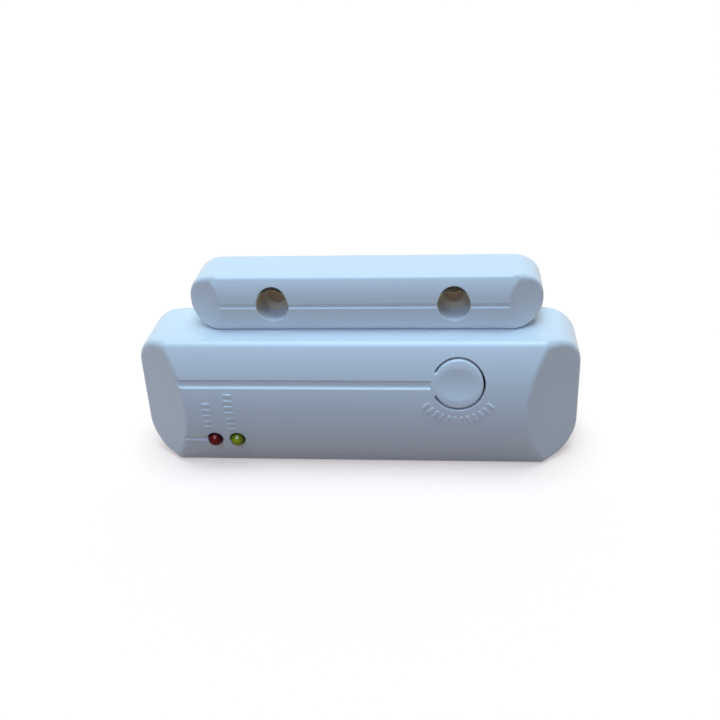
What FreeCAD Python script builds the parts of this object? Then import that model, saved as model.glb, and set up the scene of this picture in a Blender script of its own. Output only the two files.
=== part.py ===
import FreeCAD, Part
import math
import os

# Magnetic door contact: a wireless switch unit with its magnet unit lying against its upper wall.
# Millimetres. X runs along the units, Y goes from the front into the door frame, Z is up.
# The origin is the centre of the switch unit's back, the face that is fixed to the frame.

# Switch unit casing
SWITCH_LENGTH = 88.0
SWITCH_HEIGHT = 27.3
SWITCH_SIDE_DEPTH = 15.66
SWITCH_ARCH_RADIUS = 27.9
SWITCH_CORNER_RADIUS = 7.2
SWITCH_RIDGE_LENGTH = 66.8
SWITCH_FACET_ANGLE = 39.3
SWITCH_WALL = 1.8
SWITCH_EDGE_ROUNDING = 1.3
SWITCH_PLATE = 2.0
PLATE_CLEARANCE = 0.15

# Lines moulded into the switch cover
LINE_HEIGHT = 5.9
LINE_WIDTH = 1.7
LINE_FLOOR = 1.2
LINE_DEPTH = 0.5
LAMP_LINE_WIDTH = 1.2
LAMP_LINE_FLOOR = 0.6
LAMP_LINE_DEPTH = 0.25

# Test button, cut out of the cover's wall by a slot that leaves a tongue as its hinge
BUTTON_X = 20.3
BUTTON_RADIUS = 4.78
BUTTON_SLOT = 0.4
BUTTON_TONGUE_HALF_ANGLE = 29.0
BUTTON_TONGUE_SIDE_GAP = 0.2
BUTTON_TONGUE_THICKNESS = 0.9
BUTTON_DISH_RADIUS = 3.7
BUTTON_DISH_DEPTH = 0.4
BUTTON_STEM_RADIUS = 1.4
BUTTON_STEM_GAP = 0.15

# Lamps
RED_LAMP_X = -28.3
GREEN_LAMP_X = -23.75
LAMP_HEIGHT = -6.8
LAMP_RADIUS = 1.5
LAMP_CLEARANCE = 0.08
LAMP_LENGTH = 5.3
LAMP_PROUD = 1.3
LEAD_WIDTH = 0.5
LEAD_PITCH = 2.54
LEAD_HOLE_CLEARANCE = 0.15
LEAD_TAIL = 0.8

# Fixing and snapping of the base
BASE_SCREW_INSET = 6.5
BASE_SCREW_RADIUS = 1.8
BASE_COUNTERSINK_RADIUS = 3.0
HOOK_X = 27.0
HOOK_WIDTH = 6.0
HOOK_THICKNESS = 1.2
HOOK_LENGTH = 4.5
HOOK_NOSE = 0.55
HOOK_CLEARANCE = 0.1
PRY_NOTCH_WIDTH = 8.0
PRY_NOTCH_DEPTH = 1.0

# Circuit board, the posts under it and the clips at its ends
BOARD_LENGTH = 66.0
BOARD_THICKNESS = 1.2
BOARD_EDGE_CLEARANCE = 0.2
BOARD_STANDOFF = 2.0
POST_SIZE = 4.0
POST_X = 30.0
POST_Z = 7.5
LEFT_LOW_POST_X = -17.5
CLIP_Z = 6.0
CLIP_WIDTH = 5.0
CLIP_THICKNESS = 1.0
CLIP_GAP = 0.15
CLIP_NOSE = 0.5
CLIP_NOSE_LENGTH = 1.2

# Push switch under the button
PUSH_SWITCH_WIDTH = 6.0
PUSH_SWITCH_HEIGHT = 3.5
PUSH_SWITCH_LEG = 0.7
PUSH_SWITCH_LEG_REACH = 1.0
PUSH_SWITCH_LEG_THICKNESS = 0.3
PLUNGER_RADIUS = 1.75
PLUNGER_CLEARANCE = 0.1
PLUNGER_TOP = 12.7
PLUNGER_SINK = 1.4
PLUNGER_TRAVEL = 0.5

# Reed switch
REED_X = 2.0
REED_Z = 8.6
REED_RADIUS = 1.1
REED_WALL = 0.35
REED_LENGTH = 14.0
REED_SEAL = 2.0
REED_END_TAPER = 1.0
REED_STANDOFF = 0.3
REED_LEAD_RADIUS = 0.25
REED_LEAD_FIT = 0.02
REED_LEAD_REACH = 3.0
REED_LEAD_BEND = 0.8
BLADE_WIDTH = 0.9
BLADE_THICKNESS = 0.2
BLADE_GAP = 0.15
BLADE_OVERLAP = 1.0

# Battery and its contacts
BATTERY_X = -2.5
BATTERY_Z = -4.6
BATTERY_RADIUS = 5.15
BATTERY_LENGTH = 28.5
BATTERY_NUB_RADIUS = 2.2
BATTERY_NUB = 1.0
BATTERY_STANDOFF = 0.25
CONTACT_THICKNESS = 0.4
CONTACT_WIDTH = 7.0
CONTACT_FOOT = 2.6
CONTACT_GAP = 0.1
CONTACT_BEND = 0.6
CONTACT_RISE = 8.6
SPRING_SET_BACK = 1.5

# Other parts on the board
CHIP_X = -8.0
CHIP_Z = 3.9
CHIP_LENGTH = 4.9
CHIP_WIDTH = 3.9
CHIP_HEIGHT = 1.6
CHIP_LIFT = 0.2
CHIP_PINS_PER_SIDE = 4
CHIP_PIN_PITCH = 1.27
CHIP_PIN_WIDTH = 0.42
CHIP_PIN_THICKNESS = 0.25
CHIP_PIN_REACH = 1.0
RESONATOR_FROM_END = 7.5
RESONATOR_Z = -2.0
RESONATOR_RADIUS = 3.9
RESONATOR_HEIGHT = 3.2
RESONATOR_FLANGE = 0.45
RESONATOR_FLANGE_HEIGHT = 0.5
CAPACITOR_GAP = 0.2
CAPACITOR_Z = -5.5
CAPACITOR_RADIUS = 2.5
CAPACITOR_HEIGHT = 7.0
ANTENNA_X = -22.5
ANTENNA_Z = 6.0
ANTENNA_SPAN = 9.0
ANTENNA_RISE = 5.0
ANTENNA_BEND = 1.8
ANTENNA_WIRE_RADIUS = 0.4
RESISTOR_COUNT = 4
RESISTOR_X = 0.0
RESISTOR_Z = 3.9
RESISTOR_PITCH = 3.6
RESISTOR_LENGTH = 3.2
RESISTOR_WIDTH = 1.6
RESISTOR_HEIGHT = 0.6
RESISTOR_CAP = 0.5

# Magnet unit
MAGNET_UNIT_X = 1.96
MAGNET_UNIT_LENGTH = 69.1
MAGNET_UNIT_HEIGHT = 11.4
MAGNET_UNIT_SIDE_DEPTH = 10.2
MAGNET_UNIT_ARCH_RADIUS = 11.4
MAGNET_UNIT_END_FLAT = 0.6
MAGNET_UNIT_RIDGE_LENGTH = 55.4
MAGNET_UNIT_FACET_ANGLE = 28.5
MAGNET_UNIT_WALL = 1.3
MAGNET_UNIT_EDGE_BEVEL = 0.4
MAGNET_UNIT_PLATE = 1.5
MAGNET_LINE_WIDTH = 1.0
MAGNET_LINE_FLOOR = 0.5
MAGNET_LINE_DEPTH = 0.3
SCREW_SPACING = 35.0
SCREW_RECESS_RADIUS = 3.15
SCREW_RECESS_DEPTH = 5.6
SCREW_HOLE_RADIUS = 1.75
SCREW_BOSS_WALL = 1.35
MAGNET_LENGTH = 24.0
MAGNET_HEIGHT = 6.0
MAGNET_DEPTH = 5.0
MAGNET_RIB = 1.0
MAGNET_RIB_DEPTH = 3.0
MAGNET_RIB_LENGTH = 18.0
MAGNET_CLEARANCE = 0.1

# How far a cutter runs past the material that it cuts
BEYOND = 1.0
# A length that is too short to matter
NEAR = 1e-6
# How many flats a thin wire or its hole is drawn with
WIRE_FLATS = 6

LEFT_AND_RIGHT = (-1, 1)
FRONT = FreeCAD.Vector(0, -1, 0)
BACK = FreeCAD.Vector(0, 1, 0)
ALONG = FreeCAD.Vector(1, 0, 0)
UP = FreeCAD.Vector(0, 0, 1)


def vec(x, y, z):
    return FreeCAD.Vector(x, y, z)


def box(x0, x1, y0, y1, z0, z1):
    return Part.makeBox(x1 - x0, y1 - y0, z1 - z0, vec(x0, y0, z0))


def rod(radius, x, z, y_back, y_front):
    """A round bar that runs from y_back towards the front, to y_front."""
    return Part.makeCylinder(radius, y_back - y_front, vec(x, y_back, z), FRONT)


def prism(points, run):
    """A closed outline of points, extruded along run."""
    return Part.Face(Part.makePolygon(points + points[:1])).extrude(run)


def turned(profile, x, z):
    """A half profile of (radius, y) points, turned round a line that runs front to back."""
    outline = [vec(x + radius, y, z) for radius, y in profile]
    return Part.Face(Part.makePolygon(outline + outline[:1])).revolve(vec(x, 0, z), BACK, 360)


def turned_along(profile, y, z):
    """A half profile of (x, radius) points, turned round a line that runs along the unit."""
    outline = [vec(x, y, z + radius) for x, radius in profile]
    return Part.Face(Part.makePolygon(outline + outline[:1])).revolve(vec(0, y, z), ALONG, 360)


def rounded_plate(length, height, radius, x, z, y_back, y_front):
    """A plate with rounded corners, parallel to the mounting face."""
    half_l = length / 2
    half_h = height / 2
    nook = radius * (1 - math.sqrt(0.5))
    edges = []
    for sx, sz in ((1, 1), (-1, 1), (-1, -1), (1, -1)):
        side = vec(x + sx * half_l, y_back, z + sz * (half_h - radius))
        middle = vec(x + sx * (half_l - nook), y_back, z + sz * (half_h - nook))
        end = vec(x + sx * (half_l - radius), y_back, z + sz * half_h)
        order = (side, middle, end) if sx == sz else (end, middle, side)
        if edges:
            edges.append(Part.makeLine(edges[-1].Vertexes[-1].Point, order[0]))
        edges.append(Part.Arc(*order).toShape())
    edges.append(Part.makeLine(edges[-1].Vertexes[-1].Point, edges[0].Vertexes[0].Point))
    return Part.Face(Part.Wire(edges)).extrude(vec(0, y_front - y_back, 0))


def bent_path(points, bend):
    """A path of straight runs with a tangent arc at each inner point."""
    edges = []
    start = points[0]
    for before, corner, after in zip(points, points[1:], points[2:]):
        into = (before - corner).normalize()
        out = (after - corner).normalize()
        half_turn = into.getAngle(out) / 2
        setback = bend / math.tan(half_turn)
        first = corner + into * setback
        last = corner + out * setback
        middle = (into + out).normalize()
        top = corner + middle * (bend / math.sin(half_turn) - bend)
        edges.append(Part.makeLine(start, first))
        edges.append(Part.Arc(first, top, last).toShape())
        start = last
    edges.append(Part.makeLine(start, points[-1]))
    return Part.Wire(edges)


def swept(path, corners):
    """A straight-sided section, carried along a path from its start."""
    return path.makePipeShell([Part.makePolygon(corners + corners[:1])], True, False)


def flat_sided(centre, across, up, radius):
    """The corners of a thin round section that is drawn with flats."""
    turns = [2 * math.pi * (number + 0.5) / WIRE_FLATS for number in range(WIRE_FLATS)]
    return [centre + across * (radius * math.cos(turn)) + up * (radius * math.sin(turn)) for turn in turns]


def bent_wire(points, bend, radius):
    """A thin wire in the plane of X and Y."""
    across = (points[1] - points[0]).normalize().cross(UP)
    return swept(bent_path(points, bend), flat_sided(points[0], across, UP, radius))


def bent_strip(points, bend, thickness, z, width):
    """A strip that is bent in the plane of X and Y, with its width along Z."""
    side = (points[1] - points[0]).normalize().cross(UP) * (thickness / 2)
    low = points[0] + UP * (z - width / 2)
    high = points[0] + UP * (z + width / 2)
    path = bent_path(points, bend)
    path.translate(UP * z)
    return swept(path, [low + side, low - side, high - side, high + side])


class Casing:
    """A box with a flat back, flat sides, an arched front and a slanted facet at each end."""

    def __init__(self, x, z, length, height, side_depth, arch_radius, corner_radius,
                 ridge_length, facet_angle):
        self.x = x
        self.z = z
        self.length = length
        self.height = height
        self.side_depth = side_depth
        self.arch_radius = arch_radius
        self.corner_radius = corner_radius
        self.ridge_length = ridge_length
        self.facet_angle = math.radians(facet_angle)
        self.arch_axis_y = math.sqrt(arch_radius ** 2 - (height / 2) ** 2) - side_depth
        self.depth = arch_radius - self.arch_axis_y

    def front_y(self, rise, inset=0.0):
        """The arch's Y at a height above the middle of the casing."""
        return self.arch_axis_y - math.sqrt((self.arch_radius - inset) ** 2 - rise ** 2)

    def facet_x(self, y, inset=0.0):
        """How far from the middle the slanted end is at a depth."""
        return (self.ridge_length / 2 + (self.depth + y) / math.tan(self.facet_angle)
                - inset / math.sin(self.facet_angle))

    def plate(self, inset, y_back, y_front):
        """A slice of the casing's outline, set in from its edge."""
        return rounded_plate(self.length - 2 * inset, self.height - 2 * inset,
                             self.corner_radius - inset, self.x, self.z, y_back, y_front)

    def arch(self, inset):
        """The arched bar that runs along the casing."""
        half = self.height / 2 - inset
        crease = self.front_y(half, inset)
        left = self.x - self.length / 2
        top_back = vec(left, 0, self.z + half)
        top = vec(left, crease, self.z + half)
        ridge = vec(left, self.front_y(0, inset), self.z)
        bottom = vec(left, crease, self.z - half)
        bottom_back = vec(left, 0, self.z - half)
        section = Part.Wire([Part.makeLine(top_back, top), Part.Arc(top, ridge, bottom).toShape(),
                             Part.makeLine(bottom, bottom_back), Part.makeLine(bottom_back, top_back)])
        return Part.Face(section).extrude(ALONG * self.length)

    def wedge(self, inset):
        """The bar between the two slanted ends."""
        low = self.z - self.height / 2
        front = -self.depth - BEYOND
        outline = [vec(self.x - self.facet_x(0, inset), 0, low),
                   vec(self.x + self.facet_x(0, inset), 0, low),
                   vec(self.x + self.facet_x(front, inset), front, low),
                   vec(self.x - self.facet_x(front, inset), front, low)]
        return prism(outline, UP * self.height)

    def form(self, inset):
        """The whole casing, or the room inside a wall as thick as the inset."""
        block = self.plate(inset, 0, -self.depth - BEYOND)
        return block.common(self.arch(inset)).common(self.wedge(inset)).removeSplitter()

    def rounded_form(self, radius):
        """The casing with its front edges rounded."""
        form = self.form(0)
        return form.makeFillet(radius, self.front_edges(form))

    def bevelled_form(self, width):
        """The casing with its front edges bevelled."""
        form = self.form(0)
        return form.makeChamfer(width, self.front_edges(form))

    def front_edges(self, form):
        """The edges of the arch and the facets, without those that run front to back."""
        edges = []
        for edge in form.Edges:
            ends = [vertex.Point for vertex in edge.Vertexes]
            across = max(abs(ends[0].x - ends[-1].x), abs(ends[0].z - ends[-1].z))
            at_back = max(point.y for point in ends) > -NEAR
            if across > NEAR and not at_back:
                edges.append(edge)
        return edges

    def line_cutter(self, x0, x1, rise, width, floor, depth):
        """The cutter of a moulded line with sloping sides, square to the arch."""
        angle = math.asin(rise / self.arch_radius)
        out = vec(0, -math.cos(angle), math.sin(angle))
        along_arch = vec(0, math.sin(angle), math.cos(angle))
        surface = vec(x0, self.front_y(rise), self.z + rise)
        flare = (width - floor) / 2 / depth
        mouth = width / 2 + BEYOND * flare
        outline = [surface + along_arch * mouth + out * BEYOND,
                   surface - along_arch * mouth + out * BEYOND,
                   surface - along_arch * (floor / 2) - out * depth,
                   surface + along_arch * (floor / 2) - out * depth]
        return prism(outline, ALONG * (x1 - x0))


SWITCH = Casing(0.0, 0.0, SWITCH_LENGTH, SWITCH_HEIGHT, SWITCH_SIDE_DEPTH, SWITCH_ARCH_RADIUS,
                SWITCH_CORNER_RADIUS, SWITCH_RIDGE_LENGTH, SWITCH_FACET_ANGLE)
MAGNET_UNIT_Z = (SWITCH_HEIGHT + MAGNET_UNIT_HEIGHT) / 2
MAGNET_UNIT_CORNER_RADIUS = (MAGNET_UNIT_HEIGHT - MAGNET_UNIT_END_FLAT) / 2
MAGNET_UNIT = Casing(MAGNET_UNIT_X, MAGNET_UNIT_Z, MAGNET_UNIT_LENGTH, MAGNET_UNIT_HEIGHT,
                     MAGNET_UNIT_SIDE_DEPTH, MAGNET_UNIT_ARCH_RADIUS, MAGNET_UNIT_CORNER_RADIUS,
                     MAGNET_UNIT_RIDGE_LENGTH, MAGNET_UNIT_FACET_ANGLE)

# Levels inside the switch unit, from the back to the front
PLATE_FRONT = -SWITCH_PLATE
BOARD_BACK = PLATE_FRONT - BOARD_STANDOFF
BOARD_FRONT = BOARD_BACK - BOARD_THICKNESS
INNER_HALF_HEIGHT = SWITCH_HEIGHT / 2 - SWITCH_WALL
PLATE_INSET = SWITCH_WALL + PLATE_CLEARANCE
HOOK_OUTER_Z = SWITCH_HEIGHT / 2 - PLATE_INSET
BOARD_HALF_HEIGHT = HOOK_OUTER_Z - HOOK_THICKNESS - BOARD_EDGE_CLEARANCE
HOOK_TIP_Y = PLATE_FRONT - HOOK_LENGTH

# The button's slot and hinge line
SLOT_RADIUS = BUTTON_RADIUS + BUTTON_SLOT
TONGUE_ANGLE = math.radians(BUTTON_TONGUE_HALF_ANGLE)
HINGE_X = BUTTON_X - SLOT_RADIUS * math.cos(TONGUE_ANGLE)
TONGUE_HALF_WIDTH = SLOT_RADIUS * math.sin(TONGUE_ANGLE) - BUTTON_TONGUE_SIDE_GAP
PLUNGER_FACE_Y = -PLUNGER_TOP
PUSH_SWITCH_FRONT = BOARD_FRONT - PUSH_SWITCH_HEIGHT

# Places of the posts under the circuit board and of what goes through it
POSTS = ((-POST_X, POST_Z), (POST_X, POST_Z), (POST_X, -POST_Z), (LEFT_LOW_POST_X, -POST_Z))
LEAD_PLACES = [lamp_x + side * LEAD_PITCH / 2
               for lamp_x in (RED_LAMP_X, GREEN_LAMP_X) for side in LEFT_AND_RIGHT]
LAMP_TIP_Y = SWITCH.front_y(LAMP_HEIGHT) - LAMP_PROUD
LAMP_BASE_Y = LAMP_TIP_Y + LAMP_LENGTH
REED_Y = BOARD_FRONT - REED_STANDOFF - REED_RADIUS
BATTERY_Y = BOARD_FRONT - BATTERY_STANDOFF - BATTERY_RADIUS


def switch_wall():
    """The wall of the switch cover before anything is cut in it."""
    return SWITCH.rounded_form(SWITCH_EDGE_ROUNDING).cut(SWITCH.form(SWITCH_WALL))


def hooks(nose_growth):
    """The four snap hooks of the base, or the cutters of their pockets in the cover."""
    pieces = []
    reach = HOOK_NOSE + PLATE_CLEARANCE
    for side in LEFT_AND_RIGHT:
        for sign in LEFT_AND_RIGHT:
            x0 = side * HOOK_X - HOOK_WIDTH / 2 - nose_growth
            tip = HOOK_TIP_Y - nose_growth
            under = HOOK_TIP_Y + HOOK_LENGTH / 2 + nose_growth
            out = sign * (HOOK_OUTER_Z + reach + nose_growth)
            stem = sign * HOOK_OUTER_Z
            nose = [vec(x0, tip, stem), vec(x0, (tip + under) / 2, out),
                    vec(x0, under, out), vec(x0, under, stem)]
            pieces.append(prism(nose, ALONG * (HOOK_WIDTH + 2 * nose_growth)))
    return pieces


def switch_cover():
    cover = switch_wall()
    line_end = BUTTON_X - SLOT_RADIUS
    cover = cover.cut(SWITCH.line_cutter(-SWITCH_LENGTH / 2, line_end, LINE_HEIGHT,
                                         LINE_WIDTH, LINE_FLOOR, LINE_DEPTH))
    cover = cover.cut(SWITCH.line_cutter(-SWITCH_LENGTH / 2, RED_LAMP_X, LAMP_HEIGHT,
                                         LAMP_LINE_WIDTH, LAMP_LINE_FLOOR, LAMP_LINE_DEPTH))
    cover = cover.cut(button_opening())
    for x in (RED_LAMP_X, GREEN_LAMP_X):
        cover = cover.cut(rod(LAMP_RADIUS + LAMP_CLEARANCE, x, LAMP_HEIGHT, PLATE_FRONT,
                              -SWITCH.depth - BEYOND))
    for pocket in hooks(HOOK_CLEARANCE):
        cover = cover.cut(pocket)
    notch = box(-PRY_NOTCH_WIDTH / 2, PRY_NOTCH_WIDTH / 2, -PRY_NOTCH_DEPTH, BEYOND,
                -SWITCH_HEIGHT / 2 - BEYOND, -INNER_HALF_HEIGHT + BEYOND)
    return cover.cut(notch)


def past_hinge_line():
    """All the room on the button's side of its hinge line."""
    reach = SLOT_RADIUS + BEYOND
    return box(HINGE_X, BUTTON_X + reach, -SWITCH.depth - BEYOND, PLATE_FRONT,
               LINE_HEIGHT - reach, LINE_HEIGHT + reach)


def button_opening():
    """The hole in the cover that holds the button: round, with a flat along the hinge line."""
    hole = rod(SLOT_RADIUS, BUTTON_X, LINE_HEIGHT, PLATE_FRONT, -SWITCH.depth - BEYOND)
    return hole.common(past_hinge_line())


def test_button():
    """A dished disc on a thin tongue, with a stem that reaches down to the push switch."""
    front = -SWITCH.depth - BEYOND
    low = LINE_HEIGHT - TONGUE_HALF_WIDTH
    high = LINE_HEIGHT + TONGUE_HALF_WIDTH
    tongue_end = BUTTON_X - BUTTON_DISH_RADIUS
    outline = rod(BUTTON_RADIUS, BUTTON_X, LINE_HEIGHT, PLATE_FRONT, front)
    outline = outline.fuse(box(HINGE_X, tongue_end, front, PLATE_FRONT, low, high))
    button = switch_wall().common(outline.common(past_hinge_line()).removeSplitter())
    angle = math.asin(LINE_HEIGHT / SWITCH_ARCH_RADIUS)
    out = vec(0, -math.cos(angle), math.sin(angle))
    dish_sphere = (BUTTON_DISH_RADIUS ** 2 + BUTTON_DISH_DEPTH ** 2) / (2 * BUTTON_DISH_DEPTH)
    face_middle = vec(BUTTON_X, SWITCH.front_y(LINE_HEIGHT), LINE_HEIGHT)
    button = button.cut(Part.makeSphere(dish_sphere, face_middle + out * (dish_sphere - BUTTON_DISH_DEPTH)))
    relief = box(HINGE_X - BEYOND, tongue_end, front, PLATE_FRONT, low - BEYOND, high + BEYOND)
    button = button.cut(relief.common(SWITCH.form(BUTTON_TONGUE_THICKNESS)))
    stem_tip = PLUNGER_FACE_Y - BUTTON_STEM_GAP
    stem_root = SWITCH.front_y(LINE_HEIGHT, SWITCH_WALL / 2)
    stem = rod(BUTTON_STEM_RADIUS, BUTTON_X, LINE_HEIGHT, stem_tip, stem_root)
    return button.fuse(stem).removeSplitter()


def lamp(x):
    """A round lamp with a domed tip."""
    dome_start = LAMP_TIP_Y + LAMP_RADIUS
    barrel = rod(LAMP_RADIUS, x, LAMP_HEIGHT, LAMP_BASE_Y, dome_start)
    dome = Part.makeSphere(LAMP_RADIUS, vec(x, dome_start, LAMP_HEIGHT))
    return barrel.fuse(dome).removeSplitter()


def led_leads():
    half = LEAD_WIDTH / 2
    return [box(x - half, x + half, LAMP_BASE_Y, BOARD_BACK + LEAD_TAIL, LAMP_HEIGHT - half,
                LAMP_HEIGHT + half) for x in LEAD_PLACES]


def board_clip(side):
    """An upright at one end of the board, with a nose that reaches over the board's front."""
    foot = side * (BOARD_LENGTH / 2 + CLIP_GAP)
    back = foot + side * CLIP_THICKNESS
    nose = foot - side * (CLIP_GAP + CLIP_NOSE)
    under = BOARD_FRONT - CLIP_GAP
    tip = under - CLIP_NOSE_LENGTH
    low = -side * CLIP_Z - CLIP_WIDTH / 2
    outline = [vec(foot, PLATE_FRONT, low), vec(foot, under, low), vec(nose, under, low),
               vec(foot, tip, low), vec(back, tip, low), vec(back, PLATE_FRONT, low)]
    return prism(outline, UP * CLIP_WIDTH)


def switch_base():
    """The plate that is screwed to the frame, with the board's posts and clips and the cover's hooks."""
    base = SWITCH.plate(PLATE_INSET, 0, PLATE_FRONT)
    half_post = POST_SIZE / 2
    solids = [box(x - half_post, x + half_post, BOARD_BACK, PLATE_FRONT, z - half_post, z + half_post)
              for x, z in POSTS]
    solids += [board_clip(side) for side in LEFT_AND_RIGHT]
    solids += hooks(0.0)
    for side in LEFT_AND_RIGHT:
        for sign in LEFT_AND_RIGHT:
            inner = sign * (HOOK_OUTER_Z - HOOK_THICKNESS)
            outer = sign * HOOK_OUTER_Z
            solids.append(box(side * HOOK_X - HOOK_WIDTH / 2, side * HOOK_X + HOOK_WIDTH / 2,
                              HOOK_TIP_Y, PLATE_FRONT, min(inner, outer), max(inner, outer)))
    base = base.fuse(solids).removeSplitter()
    sink = BASE_COUNTERSINK_RADIUS - BASE_SCREW_RADIUS
    for side in LEFT_AND_RIGHT:
        x = side * (SWITCH_LENGTH / 2 - BASE_SCREW_INSET)
        base = base.cut(rod(BASE_SCREW_RADIUS, x, 0, BEYOND, PLATE_FRONT - BEYOND))
        cone = [(0, PLATE_FRONT + sink), (BASE_SCREW_RADIUS, PLATE_FRONT + sink),
                (BASE_COUNTERSINK_RADIUS, PLATE_FRONT), (0, PLATE_FRONT)]
        base = base.cut(turned(cone, x, 0))
    return base


def circuit_board():
    """The board, with a hole for each lead that goes through it."""
    board = box(-BOARD_LENGTH / 2, BOARD_LENGTH / 2, BOARD_FRONT, BOARD_BACK,
                -BOARD_HALF_HEIGHT, BOARD_HALF_HEIGHT)
    lamp_hole = LEAD_WIDTH * math.sqrt(0.5) + LEAD_HOLE_CLEARANCE
    reed_hole = REED_LEAD_RADIUS + LEAD_HOLE_CLEARANCE
    holes = [(lamp_hole, x, LAMP_HEIGHT) for x in LEAD_PLACES]
    holes += [(reed_hole, reed_lead_x(side), REED_Z) for side in LEFT_AND_RIGHT]
    for radius, x, z in holes:
        corners = flat_sided(vec(x, BOARD_BACK + BEYOND, z), ALONG, UP, radius)
        board = board.cut(prism(corners, FRONT * (BOARD_THICKNESS + 2 * BEYOND)))
    return board


def button_switch_body():
    """The push switch's case with its four legs and the well of its plunger."""
    half = PUSH_SWITCH_WIDTH / 2
    case = box(BUTTON_X - half, BUTTON_X + half, PUSH_SWITCH_FRONT, BOARD_FRONT,
               LINE_HEIGHT - half, LINE_HEIGHT + half)
    legs = []
    for side in LEFT_AND_RIGHT:
        for sign in LEFT_AND_RIGHT:
            x = BUTTON_X + sign * (half - PUSH_SWITCH_LEG)
            outer = LINE_HEIGHT + side * (half + PUSH_SWITCH_LEG_REACH)
            inner = LINE_HEIGHT + side * (half - PUSH_SWITCH_LEG_THICKNESS)
            legs.append(box(x - PUSH_SWITCH_LEG / 2, x + PUSH_SWITCH_LEG / 2,
                            BOARD_FRONT - PUSH_SWITCH_LEG_THICKNESS, BOARD_FRONT,
                            min(inner, outer), max(inner, outer)))
    case = case.fuse(legs).removeSplitter()
    well_floor = PUSH_SWITCH_FRONT + PLUNGER_SINK + PLUNGER_TRAVEL + PLUNGER_CLEARANCE
    return case.cut(rod(PLUNGER_RADIUS + PLUNGER_CLEARANCE, BUTTON_X, LINE_HEIGHT, well_floor,
                        PUSH_SWITCH_FRONT - BEYOND))


def button_switch_plunger():
    return rod(PLUNGER_RADIUS, BUTTON_X, LINE_HEIGHT, PUSH_SWITCH_FRONT + PLUNGER_SINK, PLUNGER_FACE_Y)


def reed_lead_x(side):
    return REED_X + side * (REED_LENGTH / 2 + REED_LEAD_REACH)


def reed_glass():
    """A glass tube that narrows to the lead sealed in each end."""
    left = REED_X - REED_LENGTH / 2
    right = REED_X + REED_LENGTH / 2
    passage = REED_LEAD_RADIUS + REED_LEAD_FIT
    room = REED_RADIUS - REED_WALL
    return turned_along([(left, passage), (left + REED_END_TAPER, REED_RADIUS),
                         (right - REED_END_TAPER, REED_RADIUS), (right, passage),
                         (right - REED_SEAL, passage), (right - REED_SEAL, room),
                         (left + REED_SEAL, room), (left + REED_SEAL, passage)], REED_Y, REED_Z)


def reed_blades():
    """The two leads, each flattened inside the glass to a blade that stops short of the other."""
    blades = []
    for side in LEFT_AND_RIGHT:
        root = REED_X + side * (REED_LENGTH / 2 - REED_SEAL)
        end = reed_lead_x(side)
        lead = bent_wire([vec(root - side * BLADE_OVERLAP, REED_Y, REED_Z), vec(end, REED_Y, REED_Z),
                          vec(end, BOARD_BACK + LEAD_TAIL, REED_Z)], REED_LEAD_BEND, REED_LEAD_RADIUS)
        tip = REED_X - side * BLADE_OVERLAP / 2
        middle = REED_Y + side * (BLADE_GAP + BLADE_THICKNESS) / 2
        blade = box(min(root, tip), max(root, tip), middle - BLADE_THICKNESS / 2,
                    middle + BLADE_THICKNESS / 2, REED_Z - BLADE_WIDTH / 2, REED_Z + BLADE_WIDTH / 2)
        blades.append(lead.fuse(blade).removeSplitter())
    return blades


def battery():
    """A small twelve-volt cell, its raised end to the right."""
    left = BATTERY_X - BATTERY_LENGTH / 2
    right = BATTERY_X + BATTERY_LENGTH / 2
    can_end = right - BATTERY_NUB
    return turned_along([(left, 0), (left, BATTERY_RADIUS), (can_end, BATTERY_RADIUS),
                         (can_end, BATTERY_NUB_RADIUS), (right, BATTERY_NUB_RADIUS), (right, 0)],
                        BATTERY_Y, BATTERY_Z)


def plate_contact_x():
    """The middle of the plate against the cell's raised end."""
    return BATTERY_X + BATTERY_LENGTH / 2 + CONTACT_GAP + CONTACT_THICKNESS / 2


def battery_plate_contact():
    """An upright plate against the cell's raised end, with a foot on the board."""
    half = CONTACT_THICKNESS / 2
    x = plate_contact_x()
    foot_y = BOARD_FRONT - half
    path = [vec(x + CONTACT_FOOT, foot_y, 0), vec(x, foot_y, 0), vec(x, foot_y - CONTACT_RISE, 0)]
    return bent_strip(path, CONTACT_BEND, CONTACT_THICKNESS, BATTERY_Z, CONTACT_WIDTH)


def battery_spring_contact():
    """A leaf that is folded over and bows against the cell's flat end."""
    half = CONTACT_THICKNESS / 2
    touch = BATTERY_X - BATTERY_LENGTH / 2 - CONTACT_GAP - half
    x = touch - SPRING_SET_BACK
    foot_y = BOARD_FRONT - half
    path = [vec(x - CONTACT_FOOT, foot_y, 0), vec(x, foot_y, 0), vec(x, foot_y - CONTACT_RISE, 0),
            vec(touch, BATTERY_Y, 0), vec((x + touch) / 2, BATTERY_Y + CONTACT_RISE / 3, 0)]
    return bent_strip(path, CONTACT_BEND, CONTACT_THICKNESS, BATTERY_Z, CONTACT_WIDTH)


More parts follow.
